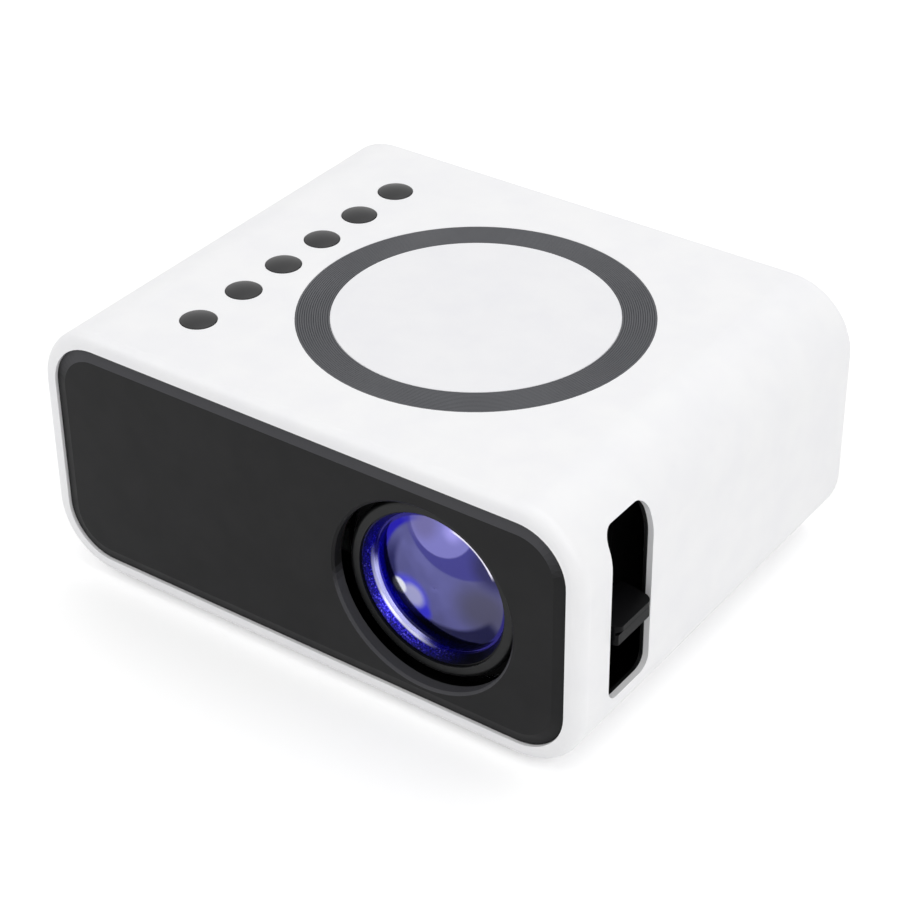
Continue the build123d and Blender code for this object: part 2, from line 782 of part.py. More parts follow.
def make_engine_case():
    case = along_z(case_outline(0), case_low, case_high)
    case -= along_z(case_outline(case_wall), duct_z[0], case_high + 1)
    case -= block((case_left - 1, case_left + 5), duct_y, (duct_z[0], case_high + 1))
    case -= rod_y(lens_x, lens_z, light_exit_r, case_front - 1, case_front + case_wall + 1)
    for y, z in lamp_points:
        near_y = duct_y[0] if y < light_y else duct_y[1]
        near_z = duct_z[0] if z < lens_z else case_high
        corner = block((case_left, case_left + lamp_boss_len), sorted((y, near_y)), sorted((z, near_z)))
        case += corner + rod_x(y, z, lamp_boss_r, case_left, case_left + lamp_boss_len)
        case -= rod_x(y, z, panel_screw_r + screw_gap, case_left - 1, case_left + lamp_boss_len - 0.5)
    for x, z in engine_points:
        case += rod_y(x, z, lamp_boss_r, case_front + trim, case_front + 6)
        case -= rod_y(x, z, panel_screw_r + screw_gap, case_front - 1, case_front + 5.5)
    for x, y in leg_points:
        case += rod_z(x, y, leg_r, floor_in, case_low + trim)
        case -= rod_z(x, y, panel_screw_r + screw_gap, floor_in - 1, bottom + panel_head_h + leg_bite)
    for x, thick in plate_stations.values():
        for edge in (x - plate_gap / 2 - rib_t, x + thick + plate_gap / 2):
            for wall_y in ((duct_y[0], duct_y[0] + rib_out), (duct_y[1] - rib_out, duct_y[1])):
                case += block((edge, edge + rib_t), wall_y, (duct_z[0], case_high))
    return case


def make_engine_lid():
    lid = along_z(case_outline(0), case_high, lid_top)
    x = plate_stations["lcd_panel"][0]
    lid -= block(both_at(x, flex_w / 2 + 0.3), both_at(light_y, 0.5), (case_high - 1, lid_top + 1))
    return lid


def engine_plate(name):
    x, thick = plate_stations[name]
    return block((x, x + thick), (duct_y[0] + plate_gap, duct_y[1] - plate_gap),
                 (duct_z[0], case_high - plate_gap))


def make_condenser_holder():
    x, thick = plate_stations["condenser_holder"]
    return engine_plate("condenser_holder") - rod_x(light_y, lens_z, condenser_r, x - 1, x + thick + 1)


def make_condenser_lens():
    # Flat face towards the lamp
    x, thick = plate_stations["condenser_holder"]
    lens = round_lens(condenser_r, condenser_r - 0.5, 0, thick, -0.01, condenser_bulge)
    return Pos(x, light_y, lens_z) * Rot(0, 0, -90) * lens


def make_fresnel(name, steps=12, depth=0.15):
    # Ring steps on the side that faces the liquid crystal panel
    x, thick = plate_stations[name]
    plate = engine_plate(name)
    facing_up = plate_stations["lcd_panel"][0] > x
    limit = duct_h / 2 - 2.0
    for n in range(1, steps + 1):
        outer = limit * n / steps
        face_x = x + thick if facing_up else x
        ring = rod_x(light_y, lens_z, outer, face_x - depth, face_x + depth)
        plate -= ring - rod_x(light_y, lens_z, outer - 0.4, face_x - 2 * depth, face_x + 2 * depth)
    return plate


def make_mirror():
    # Front-surfaced plate against the slanted wall
    half = min(case_right - case_wall - lens_x, duct_w / 2 - 0.5) * math.sqrt(2) - mirror_t
    plate = block(both(half), (0, mirror_t), both(mirror_h / 2))
    return Pos(lens_x, light_y, duct_z[0] + mirror_h / 2) * Rot(0, 0, -45) * plate


def make_led_board():
    spread = (both_at(light_y, sink_w / 2 + 1.5), both_at(lens_z, sink_h / 2 + 2.5))
    board = block((case_left - led_board_t, case_left), *spread)
    for y, z in lamp_points:
        board -= rod_x(y, z, panel_screw_r + screw_gap, case_left - 5, case_left + 1)
    return board


def make_led_emitter():
    # Square base with a round phosphor window
    base = block((case_left, case_left + led_t), both_at(light_y, led_w / 2), both_at(lens_z, led_w / 2))
    base = chamfer(base.edges().filter_by(Axis.X), 1.0)
    return base + rod_x(light_y, lens_z, led_w * 0.38, case_left + led_t, case_left + led_t + 0.5)


sink_right = case_left - led_board_t
fin_right = sink_right - sink_base_t


def make_heatsink():
    sink = block((fin_right, sink_right), both_at(light_y, sink_w / 2), both_at(lens_z, sink_h / 2))
    pitch = (sink_h - fin_t) / (fin_count - 1)
    for n in range(fin_count):
        z = lens_z - sink_h / 2 + n * pitch
        if not any(z - 3 < hole_z < z + fin_t + 3 for _, hole_z in lamp_points):
            sink += block((sink_left, fin_right + trim), both_at(light_y, sink_w / 2), (z, z + fin_t))
    for y, z in lamp_points:
        sink -= rod_x(y, z, panel_screw_r + screw_gap, fin_right - 1, sink_right + 1)
    return sink


def make_engine_screws():
    # Lamp and heatsink, lens holder, and the legs on the bottom cover
    lamp = screw(panel_head_r, panel_head_h, panel_screw_r, sink_base_t + led_board_t + lamp_boss_len - 1)
    holder = screw(panel_head_r, panel_head_h, panel_screw_r, holder_plate_t + 5.0)
    leg = screw(panel_head_r, panel_head_h - 0.1, panel_screw_r, leg_bite)
    screws = [aim((fin_right, y, z), (-1, 0, 0)) * lamp for y, z in lamp_points]
    screws += [aim((x, plate_y[0], z), (0, -1, 0)) * holder for x, z in engine_points]
    screws += [aim((x, y, bottom + panel_head_h), (0, 0, -1)) * leg for x, y in leg_points]
    return group(screws)


# Fan, speaker, main board and sockets --------------------------------------

fan_z = bottom + fan_up
fan_y = (rear_seat - fan_spacer - fan_t, rear_seat - fan_spacer)
fan_points = [(fan_x + sx * fan_hole_pitch / 2, fan_z + sz * fan_hole_pitch / 2)
              for sx in (-1, 1) for sz in (-1, 1)]
fan_hole_r = 1.5
fan_screw_r = 1.2
fan_head_r = 2.2
fan_head_h = 1.3
board_y = (rear_seat - board_back_off, rear_seat - board_back_off + board_t)
board_post_r = 2.6
post_stud_r = 1.9
post_stud = 1.5         # how deep the pillars' studs go into the back panel
fan_post_r = 2.2
fan_bite = 1.2          # fan screws in the studs
board_post_in = 4.0
board_points = [(x, z) for x in (board_left + board_post_in, board_right - board_post_in)
                for z in (board_low + board_post_in, board_high - board_post_in)]
port_z = bottom + port_up
card_z = bottom + card_up
port_end = back - socket_short
grille_bar = 1.4
card_size = (14.0, 2.4)
av_nose_r = 3.2
av_size = (7.0, 7.0)
dc_size = (9.0, 10.0)
dc_bore_r = 2.85
dc_pin_r = 1.0
dc_depth = 9.5
shell_t = 0.4
tongue_in = 1.5         # tongues end this far inside the mouth
# Chips, in from the board's right edge and up from the casing's underside, then width, height, thickness
chip_places = ((31, 30.6, 14, 14, 1.2), (47, 34.6, 11, 8, 1.0), (15, 32.6, 8, 8, 3.0), (4, 32.6, 6, 5, 1.5))
can_places = ((19, 15.6), (11, 15.6), (3, 17.6))
can_r = 3.0
can_len = 4.6


def make_rear_panel():
    panel = along_y(panel_outline(0), rear_seat, back)
    edge = panel.faces().sort_by(Axis.Y)[-1]
    panel = chamfer(edge.edges(), 0.5)
    for x, z in panel_ears():
        panel -= rod_y(x, z, panel_screw_r + screw_gap, rear_seat - 1, back)
        panel -= rod_y(x, z, panel_head_r + 0.15, back - panel_head_h - 0.1, back + 1)
    for width, height, x, z in ((*hdmi_size, hdmi_x, port_z), (*usb_size, usb_x, port_z),
                                (*card_size, usb_x, card_z), (*dc_size, dc_x, port_z)):
        hole = Pos(x, z) * RectangleRounded(width + 2 * socket_gap, height + 2 * socket_gap, 0.5)
        panel -= along_y(hole, rear_seat - 1, back + 1)
    panel -= rod_y(av_x, port_z, av_nose_r + socket_gap, rear_seat - 1, back + 1)
    panel -= fan_grille()
    for x, z in board_points + fan_points:
        panel -= rod_y(x, z, post_stud_r, rear_seat - 1, rear_seat + post_stud)
    return panel


def make_rear_posts():
    # Pillars pressed into the back panel, threaded for the board's and the fan's screws
    posts = []
    for x, z in board_points:
        post = rod_y(x, z, board_post_r, board_y[1], rear_seat)
        post += rod_y(x, z, post_stud_r, rear_seat - trim, rear_seat + post_stud)
        posts.append(post - rod_y(x, z, panel_screw_r + screw_gap, board_y[1] - 1, rear_seat))
    for x, z in fan_points:
        post = rod_y(x, z, fan_post_r, fan_y[1], rear_seat)
        post += rod_y(x, z, post_stud_r, rear_seat - trim, rear_seat + post_stud)
        posts.append(post - rod_y(x, z, fan_screw_r + screw_gap, fan_y[1] - 1, rear_seat + fan_bite))
    return group(posts)


def fan_grille():
    # Ring slots with four spokes, cut through the panel behind the fan
    cut = Sketch()
    pitch = (fan_bore_r - 3.0) / grille_ring
    for n in range(grille_ring):
        outer = fan_bore_r - n * pitch
        cut += Circle(outer) - Circle(outer - pitch + grille_bar)
    cut -= Rectangle(2 * fan_bore_r + 2, grille_bar) + Rectangle(grille_bar, 2 * fan_bore_r + 2)
    return along_y(Pos(fan_x, fan_z) * cut, rear_seat - 1, back + 1)


def make_fan_frame():
    outline = RectangleRounded(fan_size, fan_size, 2.5) - Circle(fan_bore_r)
    for x, z in fan_points:
        outline -= Pos(x - fan_x, z - fan_z) * Circle(fan_hole_r)
    frame = along_y(Pos(fan_x, fan_z) * outline, *fan_y)
    base = Circle(fan_hub_r) + Rectangle(2 * fan_bore_r + 0.6, 1.8) + Rectangle(1.8, 2 * fan_bore_r + 0.6)
    frame += along_y(Pos(fan_x, fan_z) * base, fan_y[1] - fan_base_t, fan_y[1])
    post_y = fan_y[1] - fan_base_t - 3.0
    frame += rod_y(fan_x, fan_z, fan_shaft_r + 1.2, post_y, fan_y[1] - fan_base_t)
    return frame - rod_y(fan_x, fan_z, fan_shaft_r + plunger_gap, post_y - 1, fan_y[1] - 0.5)


def make_fan_rotor():
    # Cup with swept blades, turning on the shaft in the frame's post
    y0 = fan_y[0] + 0.4
    y1 = fan_y[1] - fan_base_t - fan_tip_gap
    tip_r = fan_bore_r - fan_tip_gap
    cup = rod_y(0, 0, fan_hub_r, y0, y1)
    cup = fillet(cup.edges().sort_by(Axis.Y)[0], 0.8)
    cup -= rod_y(0, 0, fan_shaft_r + 1.2 + fan_tip_gap, y0 + 1.5, y1 + 1)
    blade = Box(tip_r - fan_hub_r + 0.6, 0.9, 8.0)
    reach = (tip_r + fan_hub_r - 0.6) / 2
    ring = rod_y(0, 0, tip_r, y0, y1) - rod_y(0, 0, fan_hub_r - 0.3, y0 - 1, y1 + 1)
    blades = []
    for n in range(fan_blades):
        tilted = Pos(reach, (y0 + y1) / 2, 0) * Rot(45, 0, 0) * blade
        blades.append(Rot(0, 360 / fan_blades * n, 0) * tilted)
    rotor = cup + (Part() + blades & ring)
    return Pos(fan_x, 0, fan_z) * rotor


def make_fan_shaft():
    return rod_y(fan_x, fan_z, fan_shaft_r, fan_y[0] + 1.9, fan_y[1] - 0.8)


def make_fan_screws():
    piece = screw(fan_head_r, fan_head_h, fan_screw_r, fan_t + fan_spacer + 1.0)
    return group(aim((x, fan_y[0], z), (0, -1, 0)) * piece for x, z in fan_points)


def make_speaker_frame():
    # Rim, open basket and magnet, facing the slots in the floor
    z0 = floor_in
    inner = speaker_r - speaker_rim_w
    neck = speaker_neck_r
    rim_part = rod_z(0, 0, speaker_r, z0, z0 + 1.2) - rod_z(0, 0, inner, z0 - 1, z0 + 2)
    face = make_face(Polyline((inner, z0 + 1.2), (inner + 1, z0 + 1.2), (neck + 0.6, z0 + 5.0),
                              (0, z0 + 5.0), (0, z0 + 4.2), (neck, z0 + 4.2), close=True))
    basket = revolve(Plane.XZ * face, Axis.Z)
    for angle in (45, 135, 225, 315):
        basket -= Rot(0, 0, angle) * rod_z((inner + neck) / 2, 0, 1.7, z0 + 1.3, z0 + 6)
    magnet = rod_z(0, 0, neck, z0 + 5.0, z0 + speaker_h)
    return Pos(speaker_x, speaker_y, 0) * (rim_part + basket + magnet)


def make_speaker_cone():
    z0 = floor_in + 0.4
    edge = speaker_r - speaker_rim_w
    points = [(0, z0 + 1.6), (edge * 0.4, z0 + 2.2), (edge * 0.85, z0 + 0.5), (edge, z0 + 0.5),
              (edge, z0 + 0.1), (edge * 0.83, z0 + 0.1), (edge * 0.38, z0 + 1.7), (0, z0 + 1.1)]
    return Pos(speaker_x, speaker_y, 0) * revolve(Plane.XZ * make_face(Polyline(*points, close=True)), Axis.Z)


def make_main_board():
    board = block((board_left, board_right), board_y, (board_low, board_high))
    for x, z in board_points:
        board -= rod_y(x, z, panel_screw_r + screw_gap, board_y[0] - 1, board_y[1] + 1)
    return board


def make_board_screws():
    piece = screw(panel_head_r, panel_head_h, panel_screw_r, board_t + 6.0)
    return group([aim((x, board_y[0], z), (0, -1, 0)) * piece for x, z in board_points] + key_screws())


def make_board_chips():
    # Processor, memory, power inductor and driver on the board's front face
    chips = []
    for left, up, w, h, t in chip_places:
        x = board_right - left
        z = bottom + up
        chips.append(block(both_at(x, w / 2), (board_y[0] - t, board_y[0]), both_at(z, h / 2)))
    return group(chips)


def make_capacitors():
    cans = []
    for left, up in can_places:
        can = rod_y(board_right - left, bottom + up, can_r, board_y[0] - can_len, board_y[0])
        cans.append(fillet(can.edges().sort_by(Axis.Y)[0], 0.4))
    return group(cans)


def metal_socket(x, z, size, tongue_t, tongue_w, depth):
    # Folded shell with a plastic tongue in its mouth
    width, height = size
    shell = along_y(Pos(x, z) * RectangleRounded(width, height, 0.6), board_y[1], port_end)
    mouth = RectangleRounded(width - 2 * shell_t, height - 2 * shell_t, 0.3)
    shell -= along_y(Pos(x, z) * mouth, port_end - depth, port_end + 1)
    tongue = (port_end - depth - trim, port_end - tongue_in)
    return shell + block(both_at(x, tongue_w / 2), tongue, both_at(z, tongue_t / 2))


def make_hdmi_socket():
    return metal_socket(hdmi_x, port_z, hdmi_size, 1.2, 11.0, 8.5)


def make_usb_socket():
    return metal_socket(usb_x, port_z, usb_size, 1.6, 10.5, 9.5)


def make_card_socket():
    shell = along_y(Pos(usb_x, card_z) * Rectangle(*card_size), board_y[1], port_end)
    return shell - along_y(Pos(usb_x, card_z) * Rectangle(11.4, 1.0), port_end - 9, port_end + 1)


def make_av_socket():
    body = along_y(Pos(av_x, port_z) * Rectangle(*av_size), board_y[1], rear_seat - 0.5)
    body += rod_y(av_x, port_z, av_nose_r, rear_seat - 0.6, port_end)
    return body - rod_y(av_x, port_z, av_bore_r, port_end - av_depth, port_end + 1)


def make_dc_socket():
    body = along_y(Pos(dc_x, port_z) * Rectangle(*dc_size), board_y[1], port_end)
    body -= rod_y(dc_x, port_z, dc_bore_r, port_end - dc_depth, port_end + 1)
    return body + rod_y(dc_x, port_z, dc_pin_r, port_end - dc_depth - trim, port_end - 1.0)


def make_panel_flex():
    # Flat cable from the liquid crystal panel over the lid to the main board
    x = plate_stations["lcd_panel"][0]
    start = case_high - plate_gap
    over = lid_top + 1.2
    path = FilletPolyline((light_y, start), (light_y, over), (board_y[0] - 1.2, over),
                          (board_y[0] - 1.2, board_high - 6), radius=0.9)
    strip = trace(path, flex_t)
    flat = along_x(strip, x - flex_w / 2, x + flex_w / 2)
    plug_z = (board_high - 8.0, board_high - 6.0)
    plug = block(both_at(x, flex_w / 2 + 1), (board_y[0] - 2.0, board_y[0]), plug_z)
    return group([flat, plug])


# Nodes ---------------------------------------------------------------------

def all_nodes():
    nodes = {
        "housing": make_housing(),
        "front_panel": make_front_panel(),
        "rear_panel": make_rear_panel(),
        "rear_posts": make_rear_posts(),
        "bottom_cover": make_bottom_cover(),
        "front_screws": make_front_screws(),
        "rear_screws": make_rear_screws(),
        "cover_screws": make_cover_screws(),
        "tripod_insert": make_tripod_insert(),
        "feet": make_feet(),
        "top_ring": make_top_ring(),
        "top_disc": make_top_disc(),
        "key_switches": make_switches(),
        "key_board": make_key_board(),
        "lens_barrel": make_lens_barrel(),
        "guide_pins": make_guide_pins(),
        "lens_bezel": make_lens_bezel(),
        "front_lens": make_front_lens(),
        "front_spacer": make_spacer(front_edge[1], middle_edge[0]),
        "middle_lens": make_middle_lens(),
        "rear_spacer": make_spacer(middle_edge[1], rear_edge[0]),
        "rear_lens": make_rear_lens(),
        "lens_holder": make_lens_holder(),
        "focus_ring": make_focus_ring(),
        "focus_clip": make_focus_clip(),
        "engine_case": make_engine_case(),
        "engine_lid": make_engine_lid(),
        "condenser_holder": make_condenser_holder(),
        "condenser_lens": make_condenser_lens(),
        "heat_glass": engine_plate("heat_glass"),
        "rear_fresnel": make_fresnel("rear_fresnel"),
        "lcd_panel": engine_plate("lcd_panel"),
        "front_fresnel": make_fresnel("front_fresnel"),
        "mirror": make_mirror(),
        "led_board": make_led_board(),
        "led_emitter": make_led_emitter(),
        "heatsink": make_heatsink(),
        "engine_screws": make_engine_screws(),
        "fan_frame": make_fan_frame(),
        "fan_rotor": make_fan_rotor(),
        "fan_shaft": make_fan_shaft(),
        "fan_screws": make_fan_screws(),
        "speaker_frame": make_speaker_frame(),
        "speaker_cone": make_speaker_cone(),
        "main_board": make_main_board(),
        "board_screws": make_board_screws(),
        "board_chips": make_board_chips(),
        "capacitors": make_capacitors(),
        "hdmi_socket": make_hdmi_socket(),
        "usb_socket": make_usb_socket(),
        "card_socket": make_card_socket(),
        "av_socket": make_av_socket(),
        "dc_socket": make_dc_socket(),
        "panel_flex": make_panel_flex(),
    }
    for n, y in enumerate(button_ys, start=1):
        nodes[f"button_{n}"] = make_button(y)
    return nodes


os.makedirs("parts", exist_ok=True)
for name, shape in all_nodes().items():
    export_step(shape, f"parts/{name}.step")
    print(name, len(shape.solids()), round(shape.volume, 1))
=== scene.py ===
import math
import bpy
from mathutils import Matrix, Vector

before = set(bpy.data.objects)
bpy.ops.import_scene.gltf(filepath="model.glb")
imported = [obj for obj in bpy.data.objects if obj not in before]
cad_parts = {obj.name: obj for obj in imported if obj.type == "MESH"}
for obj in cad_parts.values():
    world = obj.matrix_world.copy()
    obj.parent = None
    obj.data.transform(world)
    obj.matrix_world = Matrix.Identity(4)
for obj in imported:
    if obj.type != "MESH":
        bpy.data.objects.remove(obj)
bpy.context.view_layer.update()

mm = 0.001
bpy.context.scene.view_settings.view_transform = "Standard"


def linear(hexColour):
    # sRGB hex to the linear values that shaders take
    parts = [int(hexColour[i:i + 2], 16) / 255 for i in (1, 3, 5)]
    return tuple(c / 12.92 if c <= 0.04045 else ((c + 0.055) / 1.055) ** 2.4 for c in parts) + (1.0,)


def addNode(tree, kind, settings=None, links=None):
    # one node, its properties and input values, and what feeds it: {input: (node, output)}
    node = tree.nodes.new(kind)
    for name, value in (settings or {}).items():
        if name in node.inputs.keys():
            node.inputs[name].default_value = value
        elif isinstance(name, int):
            node.inputs[name].default_value = value
        else:
            setattr(node, name, value)
    for name, (source, output) in (links or {}).items():
        tree.links.new(source.outputs[output], node.inputs[name])
    return node


def newMaterial(name):
    material = bpy.data.materials.new(name)
    material.use_nodes = True
    tree = material.node_tree
    tree.nodes.clear()
    shader = addNode(tree, "ShaderNodeBsdfPrincipled")
    addNode(tree, "ShaderNodeOutputMaterial", links={"Surface": (shader, "BSDF")})
    return material, tree, shader


# camera, floor and light

camera = {
    "lens": 99.15, "sensor": 36, "near": 0.01,
    "at": (246.46, -342.50, 306.24), "azimuth": 35.735, "elevation": 33.798, "roll": -0.577,
}


def makeCamera():
    data = bpy.data.cameras.new("camera")
    data.lens = camera["lens"]      # mm, for that sensor width, from the fitted perspective
    data.sensor_width = camera["sensor"]
    data.clip_start = camera["near"]
    eye = bpy.data.objects.new("camera", data)
    az, el, roll = (math.radians(camera[k]) for k in ("azimuth", "elevation", "roll"))
    backward = Vector((math.sin(az) * math.cos(el), -math.cos(az) * math.cos(el), math.sin(el)))
    right = Vector((math.cos(az), math.sin(az), 0))
    up = backward.cross(right)
    across = math.cos(roll) * right + math.sin(roll) * up
    upright = math.cos(roll) * up - math.sin(roll) * right
    eye.matrix_world = Matrix.Translation(Vector(camera["at"]) * mm) @ Matrix(
        (across, upright, backward)).transposed().to_4x4()
    bpy.context.collection.objects.link(eye)
    bpy.context.scene.camera = eye


def showingRay(tree):
    # 1 for camera rays and for rays that leave polished or clear faces, 0 for the light on the object
    path = addNode(tree, "ShaderNodeLightPath")
    direct = addNode(tree, "ShaderNodeMath", {"operation": "MAXIMUM"},
                     {0: (path, "Is Camera Ray"), 1: (path, "Is Transmission Ray")})
    return addNode(tree, "ShaderNodeMath", {"operation": "MAXIMUM"},
                   {0: (direct, 0), 1: (path, "Is Glossy Ray")})


floorLook = {"size": 6.0, "colour": "#F4F4F4", "roughness": 0.6, "seenLift": 0.3}


def makeFloor():
    mesh = bpy.data.meshes.new("studioFloor")
    half = floorLook["size"] / 2
    corners = [(-half, -half, 0), (half, -half, 0), (half, half, 0), (-half, half, 0)]
    mesh.from_pydata(corners, [], [(0, 1, 2, 3)])
    floor = bpy.data.objects.new("studioFloor", mesh)
    bpy.context.collection.objects.link(floor)
    material, tree, shader = newMaterial("pale painted board")
    shader.inputs["Base Color"].default_value = linear(floorLook["colour"])
    shader.inputs["Roughness"].default_value = floorLook["roughness"]
    # only rays that show the board get the lift, so it reads white and keeps the object's shadow
    seen = showingRay(tree)
    lift = addNode(tree, "ShaderNodeMath", {"operation": "MULTIPLY", 1: floorLook["seenLift"]},
                   {0: (seen, 0)})
    shader.inputs["Emission Color"].default_value = (1, 1, 1, 1)
    tree.links.new(lift.outputs[0], shader.inputs["Emission Strength"])
    mesh.materials.append(material)


lights = {
    "world": 0.58,
    "lamps": (
        # name, place, aim, size, power
        ("softboxLeft", (-0.75, -0.85, 0.95), (0, 0, 0.03), 0.9, 3.4),
        ("softboxTop", (0.15, 0.25, 1.25), (0, 0, 0.03), 1.1, 4.4),
        ("softboxRight", (1.05, -0.35, 0.75), (0, 0, 0.03), 0.8, 3.4),
    ),
}


def makeLights():
    world = bpy.data.worlds.new("studio")
    bpy.context.scene.world = world
    world.use_nodes = True
    tree = world.node_tree
    tree.nodes.clear()
    shown = showingRay(tree)
    lit = addNode(tree, "ShaderNodeBackground", {"Color": (1, 1, 1, 1), "Strength": lights["world"]})
    seen = addNode(tree, "ShaderNodeBackground", {"Color": (1, 1, 1, 1), "Strength": 1.0})
    mix = addNode(tree, "ShaderNodeMixShader", links={0: (shown, 0), 1: (lit, 0), 2: (seen, 0)})
    addNode(tree, "ShaderNodeOutputWorld", links={"Surface": (mix, 0)})
    for name, place, aim, size, power in lights["lamps"]:
        lamp = bpy.data.lights.new(name, "AREA")
        lamp.shape = "SQUARE"
        lamp.size = size
        lamp.energy = power
        obj = bpy.data.objects.new(name, lamp)
        obj.location = place
        obj.rotation_euler = (Vector(aim) - Vector(place)).to_track_quat("-Z", "Y").to_euler()
        bpy.context.collection.objects.link(obj)


makeCamera()
makeFloor()
makeLights()
print("stage: camera, floor and light")


# finishes

surfaceLook = {
    "grainDetail": 2.0, "grainRoughness": 0.55, "bump": 0.6,   # fine grain
    "driftDetail": 3.0, "driftFrom": 0.35, "driftTo": 0.65,    # drift of colour
    "smearDetail": 4.0, "smearShare": 0.6,                     # drift of gloss, patches 0.6 of the colour's
}


def noiseOver(tree, place, size, settings):
    # object-space noise whose features measure about that many mm
    return addNode(tree, "ShaderNodeTexNoise", {"Scale": 1000 / size, **settings},
                   {"Vector": (place, "Object")})


def twoTone(tree, source, low, high, start, end):
    # colour ramp from one tone to the other
    ramp = addNode(tree, "ShaderNodeValToRGB", links={"Fac": (source, "Fac")})
    for element, position, tone in zip(ramp.color_ramp.elements, (start, end), (low, high)):
        element.position = position
        element.color = linear(tone)
    return ramp


def grainBump(tree, shader, grain, height):
    # fine surface grain of that size in mm, standing that many mm high
    place = addNode(tree, "ShaderNodeTexCoord")
    noise = noiseOver(tree, place, grain,
                      {"Detail": surfaceLook["grainDetail"], "Roughness": surfaceLook["grainRoughness"]})
    bump = addNode(tree, "ShaderNodeBump", {"Strength": surfaceLook["bump"], "Distance": height * mm},
                   {"Height": (noise, "Fac")})
    tree.links.new(bump.outputs["Normal"], shader.inputs["Normal"])
    return place


def mottled(tree, shader, place, low, high, patch):
    # base colour drifting between two near tones over patches of that many mm
    cloud = noiseOver(tree, place, patch, {"Detail": surfaceLook["driftDetail"]})
    ramp = twoTone(tree, cloud, low, high, surfaceLook["driftFrom"], surfaceLook["driftTo"])
    tree.links.new(ramp.outputs["Color"], shader.inputs["Base Color"])


def plain(name, low, high, roughness, metallic=0.0, ior=1.5, grain=0.3, height=0.004, patch=9.0,
          coat=0.0, uneven=0.06, shine=0.5):
    # a moulded, cast or machined finish: grain, a slight drift of colour and of gloss
    material, tree, shader = newMaterial(name)
    place = grainBump(tree, shader, grain, height)
    mottled(tree, shader, place, low, high, patch)
    smear = noiseOver(tree, place, patch * surfaceLook["smearShare"], {"Detail": surfaceLook["smearDetail"]})
    gloss = addNode(tree, "ShaderNodeMapRange", {"To Min": roughness - uneven, "To Max": roughness + uneven},
                    {"Value": (smear, "Fac")})
    tree.links.new(gloss.outputs["Result"], shader.inputs["Roughness"])
    shader.inputs["Metallic"].default_value = metallic
    if not metallic:
        shader.inputs["IOR"].default_value = ior
    shader.inputs["Coat Weight"].default_value = coat
    shader.inputs["Specular IOR Level"].default_value = shine
    return material


finishes = {
    # white ABS, injection moulded against a finely etched tool: satin, almost no highlight edge
    "whiteAbs": dict(low="#F2F2F4", high="#F5F5F6", roughness=0.42, ior=1.54, grain=0.25, height=0.003),
    # black ABS, spark-eroded tool: dark grey sheen that lifts at grazing angles
    "blackAbs": dict(low="#19191A", high="#1C1C1D", roughness=0.5, ior=1.54, grain=0.3,
                     height=0.005, shine=0.12),
    # black ABS left smooth from a polished tool: sharper soft highlights on the round edges
    "blackSmooth": dict(low="#101112", high="#141515", roughness=0.3, ior=1.54, grain=0.6,
                        height=0.002, shine=0.2),
    # dark grey ABS of the grooved ring, satin
    "ringGrey": dict(low="#4E4F53", high="#525357", roughness=0.42, ior=1.54, grain=0.25,
                     height=0.004, shine=0.3),
    # white ABS of the disc, a shade darker and glossier than the casing
    "discWhite": dict(low="#ECECEF", high="#EFEFF1", roughness=0.36, ior=1.54, grain=0.3, height=0.002),
    # black POM, the lever's slippery plastic: deep black with an oily soft sheen
    "blackPom": dict(low="#0B0B0C", high="#0E0E10", roughness=0.33, ior=1.48, grain=0.4,
                     height=0.004, shine=0.07),
    # polycarbonate with dark grey pigment, satin
    "greyButton": dict(low="#242425", high="#282829", roughness=0.38, ior=1.58, grain=0.2,
                       height=0.004, shine=0.3),
    # black silicone rubber, dull and slightly dusty
    "blackRubber": dict(low="#141414", high="#1E1E1E", roughness=0.75, ior=1.41, grain=0.35,
                        height=0.02),
    # black oxide on steel: near-black metal with a soft glint
    "blackOxide": dict(low="#26272A", high="#303236", roughness=0.35, metallic=0.9, grain=0.15,
                       height=0.004, patch=2),
    # zinc-plated steel: cool bright grey
    "zincSteel": dict(low="#B9BDC2", high="#C9CDD0", roughness=0.28, metallic=1.0, grain=0.2,
                      height=0.003, patch=3),
    # turned brass: warm yellow metal
    "turnedBrass": dict(low="#C8A45A", high="#D8B66C", roughness=0.25, metallic=1.0, grain=0.2,
                        height=0.004, patch=3),
    # extruded aluminium, mill finish
    "millAluminium": dict(low="#BCC0C4", high="#C8CBCE", roughness=0.36, metallic=1.0,
                          grain=0.5, height=0.006, patch=5),
    # epoxy-glass board under green solder mask
    "greenBoard": dict(low="#0F4A26", high="#145A2E", roughness=0.32, ior=1.55, grain=0.5,
                       height=0.004, patch=4),
    # white solder mask on an aluminium board
    "whiteBoard": dict(low="#E6E6E2", high="#EFEFEC", roughness=0.35, ior=1.55, grain=0.4, height=0.003),
    # epoxy moulding compound of chips and sockets
    "chipEpoxy": dict(low="#1B1B1D", high="#232326", roughness=0.55, ior=1.55, grain=0.12,
                      height=0.006, patch=2),
    # phosphor in clear silicone over the LED dice
    "phosphor": dict(low="#E3B52C", high="#F0C94A", roughness=0.45, ior=1.42, grain=0.15,
                     height=0.006, patch=2),
    # polyimide flat cable: amber film with a gloss
    "polyimide": dict(low="#8A4F12", high="#A4641C", roughness=0.22, ior=1.7, grain=0.8, height=0.002),
    # pressed paper cone
    "paperCone": dict(low="#1C1B1A", high="#262422", roughness=0.85, ior=1.45, grain=0.4, height=0.03),
}
material = {name: plain(name, **look) for name, look in finishes.items()}


clearLook = {"flow": 1000 / 120, "detail": 2.0, "uneven": 0.02}


